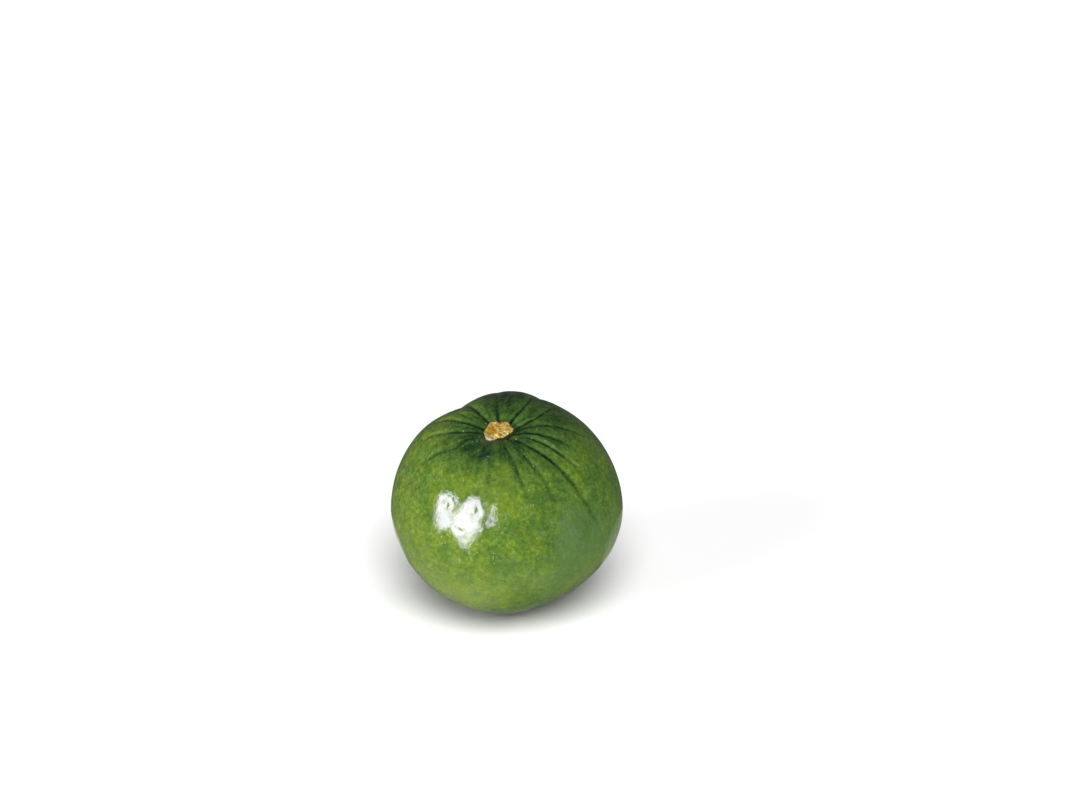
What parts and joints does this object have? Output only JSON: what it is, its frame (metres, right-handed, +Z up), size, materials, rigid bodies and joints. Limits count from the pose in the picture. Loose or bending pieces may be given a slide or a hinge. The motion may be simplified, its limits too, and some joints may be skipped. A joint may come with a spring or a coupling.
{
  "type": "round zucchini",
  "caption": "Round green summer squash, ribbed round the hollow of its cut corky stem, lying on a flat spot.",
  "frame": {"origin": "on the surface that the fruit lies on, under the middle of its outline seen from above", "axes": "+Z up; the stem leans from +Z towards -Y by 19 degrees and towards -X by 4 degrees"},
  "size_m": [0.1202, 0.12, 0.1126],
  "materials": {
    "skin": "waxy sheen",
    "cork": "rough, cut"
  },
  "bodies": {
    "root": {"fruit": "skin", "stem_stub": "cork"}
  },
  "joints": []
}
